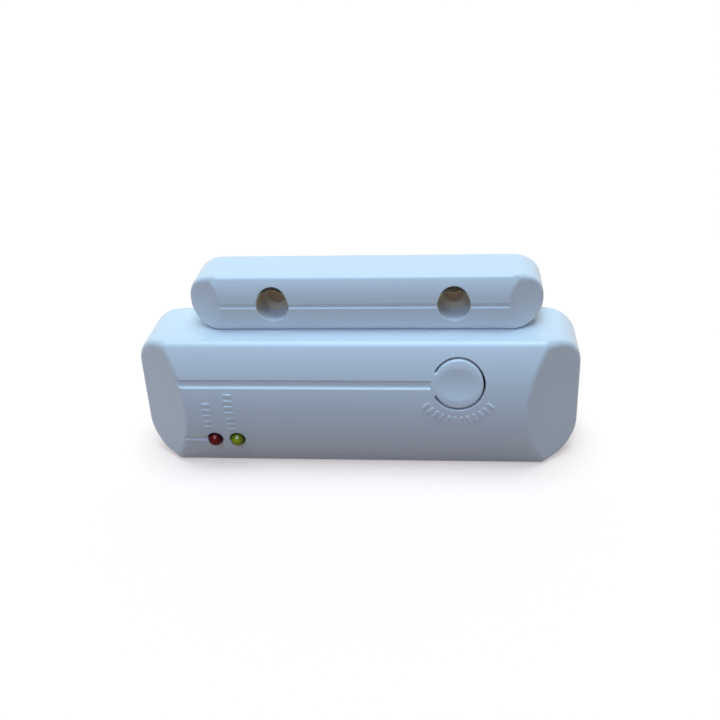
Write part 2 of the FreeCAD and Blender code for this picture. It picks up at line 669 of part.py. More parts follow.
def encoder_chip():
    """A small-outline chip with two rows of pins."""
    front = BOARD_FRONT - CHIP_LIFT - CHIP_HEIGHT
    chip = box(CHIP_X - CHIP_LENGTH / 2, CHIP_X + CHIP_LENGTH / 2, front, BOARD_FRONT - CHIP_LIFT,
               CHIP_Z - CHIP_WIDTH / 2, CHIP_Z + CHIP_WIDTH / 2)
    pins = []
    half = CHIP_PIN_THICKNESS / 2
    shoulder_y = BOARD_FRONT - CHIP_LIFT - CHIP_HEIGHT / 2
    first = CHIP_X - (CHIP_PINS_PER_SIDE - 1) * CHIP_PIN_PITCH / 2
    for number in range(CHIP_PINS_PER_SIDE):
        x0 = first + number * CHIP_PIN_PITCH - CHIP_PIN_WIDTH / 2
        for side in LEFT_AND_RIGHT:
            inner = CHIP_Z + side * (CHIP_WIDTH / 2 - half)
            knee = CHIP_Z + side * (CHIP_WIDTH + CHIP_PIN_REACH) / 2
            tip = CHIP_Z + side * (CHIP_WIDTH / 2 + CHIP_PIN_REACH)
            outline = [vec(x0, shoulder_y - half, inner), vec(x0, shoulder_y - half, knee + side * half),
                       vec(x0, BOARD_FRONT - 2 * half, knee + side * half),
                       vec(x0, BOARD_FRONT - 2 * half, tip), vec(x0, BOARD_FRONT, tip),
                       vec(x0, BOARD_FRONT, knee - side * half),
                       vec(x0, shoulder_y + half, knee - side * half), vec(x0, shoulder_y + half, inner)]
            pins.append(prism(outline, ALONG * CHIP_PIN_WIDTH))
    return chip.fuse(pins).removeSplitter()


def resonator_can():
    """A round metal can on a thin flange."""
    x = BOARD_LENGTH / 2 - RESONATOR_FROM_END
    flange = rod(RESONATOR_RADIUS + RESONATOR_FLANGE, x, RESONATOR_Z, BOARD_FRONT,
                 BOARD_FRONT - RESONATOR_FLANGE_HEIGHT)
    can = rod(RESONATOR_RADIUS, x, RESONATOR_Z, BOARD_FRONT, BOARD_FRONT - RESONATOR_HEIGHT)
    return flange.fuse(can).removeSplitter()


def capacitor_x():
    """The capacitor stands next to the foot of the plate contact."""
    return plate_contact_x() + CONTACT_FOOT + CAPACITOR_GAP + CAPACITOR_RADIUS


def capacitor():
    """A standing can."""
    return rod(CAPACITOR_RADIUS, capacitor_x(), CAPACITOR_Z, BOARD_FRONT, BOARD_FRONT - CAPACITOR_HEIGHT)


def antenna_loop():
    """A wire hoop that stands on the board."""
    left = ANTENNA_X - ANTENNA_SPAN / 2
    right = ANTENNA_X + ANTENNA_SPAN / 2
    top = BOARD_FRONT - ANTENNA_RISE
    path = [vec(left, BOARD_FRONT, ANTENNA_Z), vec(left, top, ANTENNA_Z),
            vec(right, top, ANTENNA_Z), vec(right, BOARD_FRONT, ANTENNA_Z)]
    return bent_wire(path, ANTENNA_BEND, ANTENNA_WIRE_RADIUS)


def resistors():
    """A row of chip resistors, each waisted between its two soldered caps."""
    row = []
    waist = RESISTOR_HEIGHT / 10
    for number in range(RESISTOR_COUNT):
        x = RESISTOR_X + number * RESISTOR_PITCH
        body = box(x - RESISTOR_WIDTH / 2, x + RESISTOR_WIDTH / 2, BOARD_FRONT - RESISTOR_HEIGHT,
                   BOARD_FRONT, RESISTOR_Z - RESISTOR_LENGTH / 2, RESISTOR_Z + RESISTOR_LENGTH / 2)
        middle = RESISTOR_LENGTH / 2 - RESISTOR_CAP
        step = box(x - RESISTOR_WIDTH, x + RESISTOR_WIDTH, BOARD_FRONT - RESISTOR_HEIGHT - BEYOND,
                   BOARD_FRONT - RESISTOR_HEIGHT + waist, RESISTOR_Z - middle, RESISTOR_Z + middle)
        row.append(body.cut(step))
    return row


def screw_places():
    return [MAGNET_UNIT_X + side * SCREW_SPACING / 2 for side in LEFT_AND_RIGHT]


def magnet_cover():
    """The magnet unit's shell, solid round each screw, with a recess for the screw's head."""
    outside = MAGNET_UNIT.bevelled_form(MAGNET_UNIT_EDGE_BEVEL)
    front = -MAGNET_UNIT.depth
    reach = SCREW_RECESS_RADIUS + SCREW_BOSS_WALL
    low = MAGNET_UNIT_Z - MAGNET_UNIT_HEIGHT / 2
    blocks = [box(x - reach, x + reach, front, -MAGNET_UNIT_PLATE, low, low + MAGNET_UNIT_HEIGHT)
              for x in screw_places()]
    room = MAGNET_UNIT.form(MAGNET_UNIT_WALL).cut(blocks)
    cover = outside.cut(room)
    cover = cover.cut(MAGNET_UNIT.line_cutter(MAGNET_UNIT_X - MAGNET_UNIT_LENGTH / 2,
                                              MAGNET_UNIT_X + MAGNET_UNIT_LENGTH / 2, 0.0,
                                              MAGNET_LINE_WIDTH, MAGNET_LINE_FLOOR, MAGNET_LINE_DEPTH))
    for x in screw_places():
        cover = cover.cut(rod(SCREW_RECESS_RADIUS, x, MAGNET_UNIT_Z, front + SCREW_RECESS_DEPTH,
                              front - BEYOND))
        cover = cover.cut(rod(SCREW_HOLE_RADIUS, x, MAGNET_UNIT_Z, BEYOND, front))
    return cover


def magnet_base():
    """The plate under the magnet unit, with ribs that hold the magnet from both sides."""
    plate_front = -MAGNET_UNIT_PLATE
    base = MAGNET_UNIT.plate(MAGNET_UNIT_WALL + PLATE_CLEARANCE, 0, plate_front)
    inner = MAGNET_HEIGHT / 2 + MAGNET_CLEARANCE
    ribs = []
    for sign in LEFT_AND_RIGHT:
        low = MAGNET_UNIT_Z + min(sign * inner, sign * (inner + MAGNET_RIB))
        ribs.append(box(MAGNET_UNIT_X - MAGNET_RIB_LENGTH / 2, MAGNET_UNIT_X + MAGNET_RIB_LENGTH / 2,
                        plate_front - MAGNET_RIB_DEPTH, plate_front, low, low + MAGNET_RIB))
    base = base.fuse(ribs).removeSplitter()
    for x in screw_places():
        base = base.cut(rod(SCREW_HOLE_RADIUS, x, MAGNET_UNIT_Z, BEYOND, plate_front - BEYOND))
    return base


def bar_magnet():
    plate_front = -MAGNET_UNIT_PLATE
    return box(MAGNET_UNIT_X - MAGNET_LENGTH / 2, MAGNET_UNIT_X + MAGNET_LENGTH / 2,
               plate_front - MAGNET_DEPTH, plate_front,
               MAGNET_UNIT_Z - MAGNET_HEIGHT / 2, MAGNET_UNIT_Z + MAGNET_HEIGHT / 2)


PIECES = {
    "switch_cover": switch_cover,
    "switch_base": switch_base,
    "test_button": test_button,
    "red_led": lambda: lamp(RED_LAMP_X),
    "green_led": lambda: lamp(GREEN_LAMP_X),
    "led_leads": led_leads,
    "circuit_board": circuit_board,
    "button_switch_body": button_switch_body,
    "button_switch_plunger": button_switch_plunger,
    "reed_glass": reed_glass,
    "reed_blades": reed_blades,
    "battery": battery,
    "battery_plate_contact": battery_plate_contact,
    "battery_spring_contact": battery_spring_contact,
    "encoder_chip": encoder_chip,
    "resonator_can": resonator_can,
    "capacitor": capacitor,
    "antenna_loop": antenna_loop,
    "resistors": resistors,
    "magnet_cover": magnet_cover,
    "magnet_base": magnet_base,
    "bar_magnet": bar_magnet,
}

os.makedirs("parts", exist_ok=True)
for name, make in PIECES.items():
    made = make()
    shape = Part.makeCompound(made) if isinstance(made, list) else made
    shape.exportStep("parts/" + name + ".step")
    print(name, "solids", len(shape.Solids), "valid", shape.isValid(), "volume", round(shape.Volume, 2))
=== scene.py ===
import math

import bmesh
import bpy
from mathutils import Matrix, Vector

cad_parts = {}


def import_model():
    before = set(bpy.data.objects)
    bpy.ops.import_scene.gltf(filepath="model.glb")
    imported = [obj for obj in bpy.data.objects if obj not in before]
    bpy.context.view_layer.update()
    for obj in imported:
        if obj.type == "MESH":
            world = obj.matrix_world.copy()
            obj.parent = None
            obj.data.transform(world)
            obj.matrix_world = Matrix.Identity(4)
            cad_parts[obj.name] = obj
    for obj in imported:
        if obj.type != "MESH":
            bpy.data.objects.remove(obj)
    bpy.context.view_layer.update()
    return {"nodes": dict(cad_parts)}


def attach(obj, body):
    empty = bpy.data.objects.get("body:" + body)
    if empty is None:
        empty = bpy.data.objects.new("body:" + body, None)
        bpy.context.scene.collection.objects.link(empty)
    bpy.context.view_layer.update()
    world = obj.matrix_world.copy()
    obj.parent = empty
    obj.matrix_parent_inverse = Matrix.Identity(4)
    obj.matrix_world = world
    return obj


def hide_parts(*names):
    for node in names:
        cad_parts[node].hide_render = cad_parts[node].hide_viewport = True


# Magnetic door contact: the looks of the two white units round the CAD frame.
# Sizes are in millimetres, as in the CAD source, and become metres when a mesh is finished.

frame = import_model()
NODES = frame["nodes"]
MM = 0.001

# Sizes that the solids have too
LINE_HEIGHT = 5.9
LINE_WIDTH = 1.7
LINE_FLOOR = 1.2
LINE_DEPTH = 0.5
LAMP_LINE_WIDTH = 1.2
LAMP_LINE_FLOOR = 0.6
LAMP_LINE_DEPTH = 0.25
LAMP_HEIGHT = -6.8
RED_LAMP_X = -28.3
GREEN_LAMP_X = -23.75
LAMP_HOLE = 1.58
BUTTON_X = 20.3
BUTTON_RADIUS = 4.78
BUTTON_SLOT = 0.4
OPENING_RADIUS = BUTTON_RADIUS + BUTTON_SLOT
LINE_END = BUTTON_X - OPENING_RADIUS
TONGUE_HALF_ANGLE = math.radians(29)
HINGE_X = BUTTON_X - OPENING_RADIUS * math.cos(TONGUE_HALF_ANGLE)
HINGE_HALF = OPENING_RADIUS * math.sin(TONGUE_HALF_ANGLE)
TONGUE_SIDE_GAP = 0.2
TONGUE_HALF = HINGE_HALF - TONGUE_SIDE_GAP
TONGUE_THICKNESS = 0.9
STEM_RADIUS = 1.4
STEM_TIP_Y = -12.85
SCREW_SPACING = 35.0
RECESS_RADIUS = 3.15
RECESS_FLOOR_Y = -6.1273
SCREW_HOLE_RADIUS = 1.75
BOSS_RADIUS = 3.5
BOSS_END_Y = -1.5
NOTCH_HALF = 4.0
NOTCH_DEPTH = 1.0

# Finer forms than the solids have: the lines run out, the dish is wider and each recess has a flare
LINE_RUN_OUT = 0.5
DISH_RADIUS = 4.1
DISH_DEPTH = 0.5
DISH_SOFT = 0.12
BUTTON_RIM = 0.34
RECESS_FLARE = 0.6

# Raised ribs on the switch unit's front: an arc under the button, a column above each lamp
RIB = Vector((0.55, 0.34, 1.6))
RIB_PITCH = 1.3
RIB_ARC_RADIUS = 7.4
RIB_ARC = (-146.0, -34.0)
RIB_COLUMN_SHIFT = -0.9
RED_COLUMN = (-3.6, 1.6)
GREEN_COLUMN = (-4.2, 3.6)

# Round marks on the back plates, in rows that run along the middle of the smaller plate
PIN_STEP_X = 20.0
PIN_STEP_Z = 12.9
PIN_RADIUS = 1.25

# Two points that are nearer than this are one
SAME = 0.002
# Width of the steep side where a line or a notch ends
STEP = 0.06
# An edge that turns by more than this stays sharp in the shading
SHARP_ANGLE = math.radians(38)

# How finely the covers are divided: the grid on the front, the rings round an opening, the rounded
# edges, and the rows down the side walls and the lines' sides
FACET_COLUMNS = 8
END_COLUMNS = 4
OPENING_RINGS = 3
LIP_STEPS = 4
RECESS_LIP_STEPS = 6
RIM_STEPS = 6
EDGE_STEPS = 8
SIDE_ROWS = (0.08, 0.3, 0.55, 0.8, 1.0)
LINE_ROWS = (0.0, 0.12, 0.27, 0.42, 0.58, 0.73, 0.88, 1.0)
RUN_OUT_COLUMNS = (0.0, 0.04, 0.16, 0.36, 0.64, 1.0)


class Casing:
    """The form of a unit: flat sides, an arched front and a slanted facet at each end."""

    def __init__(self, x, z, length, height, side_depth, arch_radius, corner, ridge, facet_angle,
                 rounding, wall):
        self.x = x
        self.z = z
        self.half_length = length / 2
        self.half_height = height / 2
        self.arch_radius = arch_radius
        self.corner = corner
        self.half_ridge = ridge / 2
        self.facet = math.radians(facet_angle)
        self.rounding = rounding
        self.wall = wall
        self.axis_y = math.sqrt(arch_radius ** 2 - self.half_height ** 2) - side_depth
        self.depth = arch_radius - self.axis_y

    def front_y(self, rise, inset=0.0):
        return self.axis_y - math.sqrt((self.arch_radius - inset) ** 2 - rise ** 2)

    def facet_x(self, y, inset=0.0):
        return self.half_ridge + (self.depth + y) / math.tan(self.facet) - inset / math.sin(self.facet)

    def facet_y(self, x, inset=0.0):
        return (x - self.half_ridge + inset / math.sin(self.facet)) * math.tan(self.facet) - self.depth

    def end_x(self, rise, inset):
        """Half the outline's length at a height above the unit's middle."""
        past = abs(rise) - (self.half_height - self.corner)
        if past <= 0:
            return self.half_length - inset
        bend = self.corner - inset
        return self.half_length - self.corner + math.sqrt(max(bend ** 2 - past ** 2, 0.0))

    def side_normal(self, x, rise):
        """The outline's outward direction next to a point of the inset outline."""
        centre_x = math.copysign(self.half_length - self.corner, x)
        centre_z = math.copysign(self.half_height - self.corner, rise)
        if abs(rise) <= abs(centre_z):
            return Vector((math.copysign(1.0, x), 0, 0))
        if abs(x) <= abs(centre_x):
            return Vector((0, 0, math.copysign(1.0, rise)))
        return Vector((x - centre_x, 0, rise - centre_z)).normalized()


SWITCH = Casing(x=0.0, z=0.0, length=88.0, height=27.3, side_depth=15.66, arch_radius=27.9, corner=7.2,
                ridge=66.8, facet_angle=39.3, rounding=1.5, wall=1.8)
MAGNET_UNIT = Casing(x=1.96, z=19.35, length=69.1, height=11.4, side_depth=10.2, arch_radius=11.4,
                     corner=5.4, ridge=55.4, facet_angle=28.5, rounding=0.95, wall=1.3)


class Line:
    """A moulded line along a unit's arch, with sloping sides and soft lips."""

    # how far the soft bends reach past the sloping side's ends
    SOFT = 0.07

    def __init__(self, rise, width, floor, depth, end):
        self.rise = rise
        self.width = width
        self.floor = floor
        self.depth = depth
        self.end = end

    def reach(self, share):
        """Distance from the line's middle at which its side has come down by a share."""
        top = self.width / 2 + self.SOFT
        low = self.floor / 2 - self.SOFT
        return top + (low - top) * share

    def depth_at(self, casing, x, rise):
        """Its depth at a point; it rises to the surface over its last stretch."""
        fade = min(max((self.end - x) / LINE_RUN_OUT, 0.0), 1.0)
        radius = casing.arch_radius
        across = radius * abs(math.asin(rise / radius) - math.asin(self.rise / radius))
        share = (self.reach(0.0) - across) / (self.reach(0.0) - self.reach(1.0))
        share = min(max(share, 0.0), 1.0)
        return self.depth * share * share * (3 - 2 * share) * math.sqrt(fade)

    def rows(self, casing):
        """The heights at which its profile needs a row of points."""
        radius = casing.arch_radius
        middle = math.asin(self.rise / radius)
        rises = [self.rise]
        for share in LINE_ROWS:
            for side in (-1, 1):
                rises.append(radius * math.sin(middle + side * self.reach(share) / radius))
        return rises


def between(start, end, pitch):
    """Evenly spaced values from start to end, at about a pitch, both ends included."""
    steps = max(1, round(abs(end - start) / pitch))
    return [start + (end - start) * number / steps for number in range(steps + 1)]


def filled(marks, pitch):
    """Sorted marks with evenly spaced values between those that are far apart."""
    marks = sorted(set(round(mark, 6) for mark in marks))
    values = [marks[0]]
    for low, high in zip(marks, marks[1:]):
        values += between(low, high, pitch)[1:]
    return values


def turned_from(first, last, share):
    """A direction between two directions."""
    return first.slerp(last, share, first) if first.dot(last) < 1 - 1e-9 else first.copy()


class Opening:
    """A round hole through a unit's front, with the block of the grid that makes way for it.

    Within keep_left and keep_right of its middle, rows of the grid run straight on to the hole's
    edge. A flat_x gives it a flat left side, as high as flat_half each way. The middle of that side,
    as high as flush_half each way, has no lip.
    """

    def __init__(self, x, z, radius, half_block, lip, keep_left=0.0, keep_right=0.0, flat_x=None,
                 flat_half=0.0, flush_half=0.0):
        self.x = x
        self.z = z
        self.radius = radius
        self.x0 = x - half_block
        self.x1 = x + half_block
        self.z0 = z - half_block
        self.z1 = z + half_block
        self.lip = lip
        self.keep_left = keep_left
        self.keep_right = keep_right
        self.flat_x = flat_x
        self.flat_half = flat_half
        self.flush_half = flush_half

    def outline(self, loop):
        """For each point of the block's edge: a point of the hole's edge, its outward direction
        and how much of the lip it has."""
        radius = self.radius
        angles = [None] * len(loop)
        for number, (x, z) in enumerate(loop):
            rise = z - self.z
            low_half = number < len(loop) / 2
            if abs(x - self.x0) < SAME and abs(rise) <= self.keep_left + SAME:
                turn = math.pi - math.asin(abs(rise) / radius)
                angles[number] = -turn if low_half else turn
            elif abs(x - self.x1) < SAME and abs(rise) <= self.keep_right + SAME:
                angles[number] = math.asin(rise / radius)
        known = [number for number, angle in enumerate(angles) if angle is not None]
        known.append(len(loop))
        angles.append(angles[0] + 2 * math.pi)
        walked = [0.0]
        for first, second in zip(loop, loop[1:] + loop[:1]):
            walked.append(walked[-1] + math.dist(first, second))
        for low, high in zip(known, known[1:]):
            for number in range(low + 1, high):
                share = (walked[number] - walked[low]) / (walked[high] - walked[low])
                angles[number] = angles[low] + (angles[high] - angles[low]) * share
        points = []
        for (x, z), angle in zip(loop, angles):
            rise = z - self.z
            at_left = abs(x - self.x0) < SAME
            if self.flat_x is not None and at_left and abs(rise) <= self.flat_half + SAME:
                out = Vector((-1.0, 0.0))
                place = Vector((self.flat_x, z))
                lip = 0.0 if abs(rise) <= self.flush_half + SAME else 0.5
            else:
                out = Vector((math.cos(angle), math.sin(angle)))
                place = Vector((self.x, self.z)) + out * radius
                lip = 1.0
            points.append((place, out, lip))
        return points


class ShellMesh:
    """The points and faces of a cover: an outer sheet, an inner sheet and what joins them."""

    def __init__(self, casing, rises, columns, lines, openings):
        self.casing = casing
        self.columns = columns
        self.lines = lines
        self.openings = openings
        inner_half = casing.half_height - casing.rounding
        reach = casing.arch_radius / (casing.arch_radius - casing.rounding)
        self.rises = [rise for rise in rises if abs(rise) < inner_half * reach - SAME]
        self.rises = [-inner_half * reach] + self.rises + [inner_half * reach]
        self.points = []
        self.faces = []
        self.in_recess = []

    def point(self, x, y, z):
        self.points.append((x, y, z))
        return len(self.points) - 1

    def band(self, first, second):
        """Faces between two closed rows of points with the same count."""
        for number in range(len(first)):
            after = (number + 1) % len(first)
            self.faces.append((first[number], first[after], second[after], second[number]))

    def cap(self, middle, ring):
        """Faces from one point to a closed row of points round it."""
        for number in range(len(ring)):
            self.faces.append((middle, ring[number], ring[(number + 1) % len(ring)]))

    def outer_y(self, x, rise):
        inset = max([line.depth_at(self.casing, x, rise) for line in self.lines], default=0.0)
        return self.casing.front_y(rise, inset)

    def row(self, rise, inset, fan):
        """One row of the front: the inset points and the directions that go with them."""
        casing = self.casing
        radius = casing.arch_radius - inset
        half = casing.half_height
        # the inner sheet's rows are drawn in towards the middle, so that the last one meets its wall
        shrink = (half - inset) / ((half - casing.rounding) * casing.arch_radius
                                   / (casing.arch_radius - casing.rounding))
        low = rise * shrink
        angle = math.asin(low / radius)
        arch = Vector((0, -math.cos(angle), math.sin(angle)))
        y = casing.front_y(low, inset)
        end = casing.end_x(low, inset)
        ridge = min(casing.facet_x(y, inset), end)
        has_facet = casing.facet_x(y, inset) < end
        facet = Vector((math.sin(casing.facet), -math.cos(casing.facet), 0)) if has_facet else arch
        right = []
        for number in range(FACET_COLUMNS):
            x = end + (ridge - end) * number / FACET_COLUMNS
            right.append((Vector((x, casing.facet_y(x, inset) if has_facet else y, low)), facet))
        for number in range(fan + 1):
            right.append((Vector((ridge, y, low)), turned_from(facet, arch, number / fan)))
        for number in range(1, END_COLUMNS):
            x = ridge + (self.columns[-1] - ridge) * number / END_COLUMNS
            right.append((Vector((x, y, low)), arch))
        left = [(Vector((-core.x, core.y, core.z)), Vector((-out.x, out.y, out.z))) for core, out in right]
        middle = [(Vector((x, y, low)), arch) for x in self.columns]
        return left + middle + right[::-1]

    def sheet(self, inset, rounding, fan, edge_steps, rim, has_lines):
        """One sheet with its side walls. Returns its rim and the edge loop of each opening."""
        casing = self.casing
        rows = [self.row(rise, inset, fan) for rise in self.rises]
        grid = []
        for row in rows:
            indices = []
            for core, out in row:
                place = core + out * rounding
                if has_lines:
                    place.y = max(place.y, self.outer_y(place.x, place.z))
                indices.append(self.point(*place))
            grid.append(indices)
        # the middle's columns come after those of the left facet, its ridge and the stretch beside it
        first_column = FACET_COLUMNS + fan + END_COLUMNS
        blocks = []
        for opening in self.openings:
            blocks.append((self.nearest(self.rises, opening.z0),
                           self.nearest(self.rises, opening.z1),
                           first_column + self.nearest(self.columns, opening.x0),
                           first_column + self.nearest(self.columns, opening.x1)))
        for row in range(len(grid) - 1):
            for column in range(len(grid[0]) - 1):
                if any(low <= row < high and left <= column < right for low, high, left, right in blocks):
                    continue
                self.faces.append((grid[row][column], grid[row][column + 1],
                                   grid[row + 1][column + 1], grid[row + 1][column]))
        loops = []
        for opening, (low, high, left, right) in zip(self.openings, blocks):
            middle = self.nearest(self.rises, opening.z)
            path = [(row, left) for row in range(middle, low, -1)]
            path += [(low, column) for column in range(left, right)]
            path += [(row, right) for row in range(low, high)]
            path += [(high, column) for column in range(right, left, -1)]
            path += [(row, left) for row in range(high, middle, -1)]
            loops.append([grid[row][column] for row, column in path])
        last_row = len(grid) - 1
        last_column = len(grid[0]) - 1
        edge = [(0, column) for column in range(last_column)]
        edge += [(row, last_column) for row in range(last_row)]
        edge += [(last_row, column) for column in range(last_column, 0, -1)]
        edge += [(row, 0) for row in range(last_row, 0, -1)]
        before = [grid[row][column] for row, column in edge]
        sides = []
        for row, column in edge:
            core, out = rows[row][column]
            side = casing.side_normal(core.x, core.z)
            if row in (0, last_row):
                side = Vector((0, 0, math.copysign(1.0, core.z)))
            sides.append((core, out, side))
        for number in range(1, edge_steps + 1):
            places = []
            for core, out, side in sides:
                place = core + turned_from(out, side, number / edge_steps) * rounding
                if has_lines and abs(place.z) < casing.half_height:
                    place.y = max(place.y, self.outer_y(place.x, place.z))
                places.append(place)
            before = self.ring_at(before, places)
        for share in SIDE_ROWS:
            places = []
            for core, out, side in sides:
                place = core + side * rounding
                end = rim(place.x, place.z)
                places.append((place.x, place.y + (end - place.y) * share, place.z))
            before = self.ring_at(before, places)
        return before, loops

    def walls(self, fan, rim):
        """The outer and the inner sheet, joined at the rim. Gives each opening with its two loops."""
        casing = self.casing
        outer_rim, outer_loops = self.sheet(casing.rounding, casing.rounding, fan, EDGE_STEPS, rim, True)
        inner_rim, inner_loops = self.sheet(casing.wall, 0.0, fan, 1, rim, False)
        self.band(outer_rim, inner_rim)
        return list(zip(self.openings, outer_loops, inner_loops))

    @staticmethod
    def nearest(values, value):
        return min(range(len(values)), key=lambda number: abs(values[number] - value))

    def ring_down(self, loop, targets):
        """Rings from a block's edge in to a hole's edge."""
        start = [self.points[index] for index in loop]
        before = loop
        for number in range(1, OPENING_RINGS + 1):
            share = number / OPENING_RINGS
            places = []
            for (x, y, z), (goal_x, goal_z) in zip(start, targets):
                place_x = x + (goal_x - x) * share
                place_z = z + (goal_z - z) * share
                places.append((place_x, self.outer_y(place_x, place_z), place_z))
            before = self.ring_at(before, places)
        return before

    def ring_at(self, before, places):
        """A new closed row of points with faces to the row before it."""
        ring = [self.point(*place) for place in places]
        self.band(before, ring)
        return ring

    def finished(self, name):
        """The finished object at its place in the frame."""
        mesh = bpy.data.meshes.new(name)
        moved = [(x + self.casing.x, y, z + self.casing.z) for x, y, z in self.points]
        mesh.from_pydata(moved, [], self.faces)
        for number in self.in_recess:
            mesh.polygons[number].material_index = 1
        return finished_object(name, mesh)


def plain_mesh(drawn):
    """What an object's modifiers make of it, as a plain mesh. The object itself is removed."""
    seen = drawn.evaluated_get(bpy.context.evaluated_depsgraph_get())
    mesh = bpy.data.meshes.new_from_object(seen)
    bpy.data.objects.remove(drawn)
    return mesh


def linked(name, data):
    """A new object in the scene."""
    made = bpy.data.objects.new(name, data)
    bpy.context.scene.collection.objects.link(made)
    return made


def finished_object(name, mesh):
    """Merges double points, turns the faces outwards and evens the shading, all in millimetres.

    The modifier passes over faces as small as these are in metres, so the mesh is scaled last.
    """
    work = bmesh.new()
    work.from_mesh(mesh)
    bmesh.ops.remove_doubles(work, verts=work.verts, dist=SAME)
    bmesh.ops.dissolve_degenerate(work, edges=work.edges, dist=SAME / 4)
    bmesh.ops.recalc_face_normals(work, faces=work.faces)
    for face in work.faces:
        face.smooth = True
    for edge in work.edges:
        edge.smooth = not (edge.is_manifold and edge.calc_face_angle() > SHARP_ANGLE)
    work.to_mesh(mesh)
    work.free()
    drawn = linked(name + "_drawn", mesh)
    weighted = drawn.modifiers.new("Even shading", "WEIGHTED_NORMAL")
    weighted.keep_sharp = True
    even = plain_mesh(drawn)
    even.transform(Matrix.Scale(MM, 4))
    return linked(name, even)


def hole_walls(shell, opening, outer_loop, inner_loop):
    """Takes an opening from the outer sheet through the wall to the inner sheet."""
    start = [(shell.points[index][0], shell.points[index][2]) for index in outer_loop]
    edge = opening.outline(start)
    lip = opening.lip
    before = shell.ring_down(outer_loop, [place + out * lip * share for place, out, share in edge])
    for number in range(1, LIP_STEPS + 1):
        turn = math.pi / 2 * number / LIP_STEPS
        places = []
        for place, out, share in edge:
            x, z = place + out * lip * share * (1 - math.sin(turn))
            places.append((x, shell.outer_y(x, z) + lip * (1 - math.cos(turn)) * share, z))
        before = shell.ring_at(before, places)
    casing = shell.casing
    places = [(place.x, casing.front_y(place.y, casing.wall), place.y) for place, out, share in edge]
    before = shell.ring_at(before, places)
    inner_start = [shell.points[index] for index in inner_loop]
    for number in range(1, OPENING_RINGS):
        share = number / OPENING_RINGS
        places = []
        for (place, out, _), (x, y, z) in zip(edge, inner_start):
            place_x = place.x + (x - place.x) * share
            place_z = place.y + (z - place.y) * share
            places.append((place_x, casing.front_y(place_z, casing.wall), place_z))
        before = shell.ring_at(before, places)
    shell.band(before, inner_loop)


def switch_cover():
    """The switch unit's cover with its two lines, the button's opening and the lamps' holes."""
    lines = [Line(LINE_HEIGHT, LINE_WIDTH, LINE_FLOOR, LINE_DEPTH, LINE_END),
             Line(LAMP_HEIGHT, LAMP_LINE_WIDTH, LAMP_LINE_FLOOR, LAMP_LINE_DEPTH, RED_LAMP_X)]
    button = Opening(BUTTON_X, LINE_HEIGHT, OPENING_RADIUS, OPENING_RADIUS, lip=0.16, keep_left=HINGE_HALF,
                     flat_x=HINGE_X, flat_half=HINGE_HALF, flush_half=TONGUE_HALF)
    # its block reaches up to the line's end on the left and a little past the hole elsewhere
    button.x0 = LINE_END + STEP
    button.x1 = 26.3
    button.z0 = 0.1
    button.z1 = 11.8
    openings = [Opening(x, LAMP_HEIGHT, LAMP_HOLE, half_block=2.2, lip=0.1, keep_left=0.75)
                for x in (RED_LAMP_X, GREEN_LAMP_X)]
    openings.append(button)
    # the heights and the columns that the grid must have: its outermost ones and those of each form
    marks = [-13.0, 13.0, LINE_HEIGHT, LAMP_HEIGHT]
    for line in lines:
        marks += line.rows(SWITCH)
    for opening in openings:
        marks += [opening.z0, opening.z1]
    marks += [LINE_HEIGHT + side * half for side in (-1, 1) for half in (TONGUE_HALF, HINGE_HALF)]
    columns = [-31.0, 31.0, -NOTCH_HALF, NOTCH_HALF, -NOTCH_HALF - STEP, NOTCH_HALF + STEP]
    for share in RUN_OUT_COLUMNS:
        columns += [LINE_END - LINE_RUN_OUT * share, RED_LAMP_X - LINE_RUN_OUT * share]
    for opening in openings:
        columns += [opening.x0, opening.x1]
    shell = ShellMesh(SWITCH, filled(marks, 0.75), filled(columns, 0.95), lines, openings)

    def rim(x, z):
        """The rim lies on the back plane, but for the pry notch in its lower side."""
        return -NOTCH_DEPTH if z < 0 and abs(x) < NOTCH_HALF + STEP / 2 else 0.0

    for loops in shell.walls(7, rim):
        hole_walls(shell, *loops)
    return shell.finished("switch_cover_shell")


def magnet_cover():
    """The magnet unit's cover with its line and two screw recesses."""
    line = Line(0.0, width=1.0, floor=0.5, depth=0.3, end=100.0)
    openings = [Opening(side * SCREW_SPACING / 2, 0.0, RECESS_RADIUS, half_block=4.3, lip=0.08,
                        keep_left=0.7, keep_right=0.7) for side in (-1, 1)]
    marks = [-5.0, 5.0, 0.0] + line.rows(MAGNET_UNIT)
    columns = [-25.5, 25.5]
    for opening in openings:
        marks += [opening.z0, opening.z1]
        columns += [opening.x0, opening.x1]
    shell = ShellMesh(MAGNET_UNIT, filled(marks, 0.55), filled(columns, 0.9), [line], openings)
    for loops in shell.walls(6, lambda x, z: 0.0):
        recess_walls(shell, *loops)
    return shell.finished("magnet_cover_shell")


